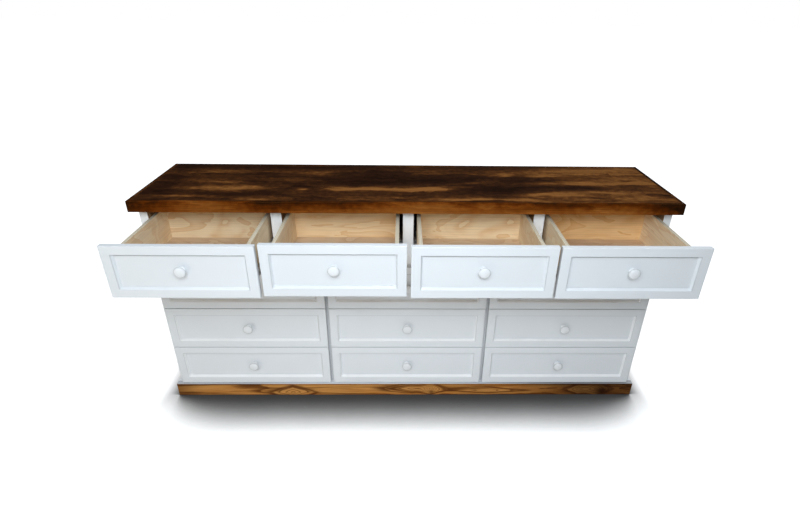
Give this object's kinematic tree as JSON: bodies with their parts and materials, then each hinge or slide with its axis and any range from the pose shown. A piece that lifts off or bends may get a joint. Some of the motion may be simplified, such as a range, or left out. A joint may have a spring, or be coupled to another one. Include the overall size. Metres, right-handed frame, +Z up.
{
  "type": "chest of drawers",
  "caption": "Long low chest of drawers: stained wood top and plinth, white panelled fronts with round knobs, and plywood drawer boxes on side-mounted slides.",
  "frame": {"origin": "on the floor, under the middle of the plinth", "axes": "+X to the right as one faces the drawers, -Y the way the drawers open, +Z up"},
  "size_m": [1.9, 0.6548, 0.882],
  "materials": {
    "stained_wood": "dark brown stain under a satin varnish",
    "white_paint": "satin white paint on wood",
    "plywood": "bare pine plywood, lightly sealed"
  },
  "bodies": {
    "carcass": {"top_panel": "stained_wood", "top_edging_front": "stained_wood", "top_edging_left": "stained_wood", "top_edging_right": "stained_wood", "left_side_panel": "white_paint", "right_side_panel": "white_paint", "back_panel": "plywood", "bottom_panel": "white_paint", "middle_shelf": "white_paint", "upper_divider_1": "white_paint", "upper_divider_2": "white_paint", "upper_divider_3": "white_paint", "lower_divider_1": "white_paint", "lower_divider_2": "white_paint", "plinth_front": "stained_wood", "plinth_left": "stained_wood", "plinth_right": "stained_wood", "plinth_back": "stained_wood", "plinth_bearer": "stained_wood"},
    "drawer_1_1": {"drawer_1_1_front": "white_paint", "drawer_1_1_box": "plywood", "drawer_1_1_knob": "white_paint"},
    "drawer_1_2": {"drawer_1_2_front": "white_paint", "drawer_1_2_box": "plywood", "drawer_1_2_knob": "white_paint"},
    "drawer_1_3": {"drawer_1_3_front": "white_paint", "drawer_1_3_box": "plywood", "drawer_1_3_knob": "white_paint"},
    "drawer_1_4": {"drawer_1_4_front": "white_paint", "drawer_1_4_box": "plywood", "drawer_1_4_knob": "white_paint"},
    "drawer_2_1": {"drawer_2_1_front": "white_paint", "drawer_2_1_box": "plywood", "drawer_2_1_knob": "white_paint"},
    "drawer_2_2": {"drawer_2_2_front": "white_paint", "drawer_2_2_box": "plywood", "drawer_2_2_knob": "white_paint"},
    "drawer_2_3": {"drawer_2_3_front": "white_paint", "drawer_2_3_box": "plywood", "drawer_2_3_knob": "white_paint"},
    "drawer_3_1": {"drawer_3_1_front": "white_paint", "drawer_3_1_box": "plywood", "drawer_3_1_knob": "white_paint"},
    "drawer_3_2": {"drawer_3_2_front": "white_paint", "drawer_3_2_box": "plywood", "drawer_3_2_knob": "white_paint"},
    "drawer_3_3": {"drawer_3_3_front": "white_paint", "drawer_3_3_box": "plywood", "drawer_3_3_knob": "white_paint"},
    "drawer_4_1": {"drawer_4_1_front": "white_paint", "drawer_4_1_box": "plywood", "drawer_4_1_knob": "white_paint"},
    "drawer_4_2": {"drawer_4_2_front": "white_paint", "drawer_4_2_box": "plywood", "drawer_4_2_knob": "white_paint"},
    "drawer_4_3": {"drawer_4_3_front": "white_paint", "drawer_4_3_box": "plywood", "drawer_4_3_knob": "white_paint"}
  },
  "joints": [
    {"name": "drawer_1_1_slide", "type": "slide", "parent": "carcass", "child": "drawer_1_1", "axis": [0, -1, 0], "range_m": [-0.256, 0.009]},
    {"name": "drawer_1_2_slide", "type": "slide", "parent": "carcass", "child": "drawer_1_2", "axis": [0, -1, 0], "range_m": [-0.246, 0.019]},
    {"name": "drawer_1_3_slide", "type": "slide", "parent": "carcass", "child": "drawer_1_3", "axis": [0, -1, 0], "range_m": [-0.254, 0.011]},
    {"name": "drawer_1_4_slide", "type": "slide", "parent": "carcass", "child": "drawer_1_4", "axis": [0, -1, 0], "range_m": [-0.256, 0.009]},
    {"name": "drawer_2_1_slide", "type": "slide", "parent": "carcass", "child": "drawer_2_1", "axis": [0, -1, 0], "range_m": [0, 0.265]},
    {"name": "drawer_2_2_slide", "type": "slide", "parent": "carcass", "child": "drawer_2_2", "axis": [0, -1, 0], "range_m": [0, 0.265]},
    {"name": "drawer_2_3_slide", "type": "slide", "parent": "carcass", "child": "drawer_2_3", "axis": [0, -1, 0], "range_m": [0, 0.265]},
    {"name": "drawer_3_1_slide", "type": "slide", "parent": "carcass", "child": "drawer_3_1", "axis": [0, -1, 0], "range_m": [0, 0.265]},
    {"name": "drawer_3_2_slide", "type": "slide", "parent": "carcass", "child": "drawer_3_2", "axis": [0, -1, 0], "range_m": [0, 0.265]},
    {"name": "drawer_3_3_slide", "type": "slide", "parent": "carcass", "child": "drawer_3_3", "axis": [0, -1, 0], "range_m": [0, 0.265]},
    {"name": "drawer_4_1_slide", "type": "slide", "parent": "carcass", "child": "drawer_4_1", "axis": [0, -1, 0], "range_m": [0, 0.265]},
    {"name": "drawer_4_2_slide", "type": "slide", "parent": "carcass", "child": "drawer_4_2", "axis": [0, -1, 0], "range_m": [0, 0.265]},
    {"name": "drawer_4_3_slide", "type": "slide", "parent": "carcass", "child": "drawer_4_3", "axis": [0, -1, 0], "range_m": [0, 0.265]}
  ]
}
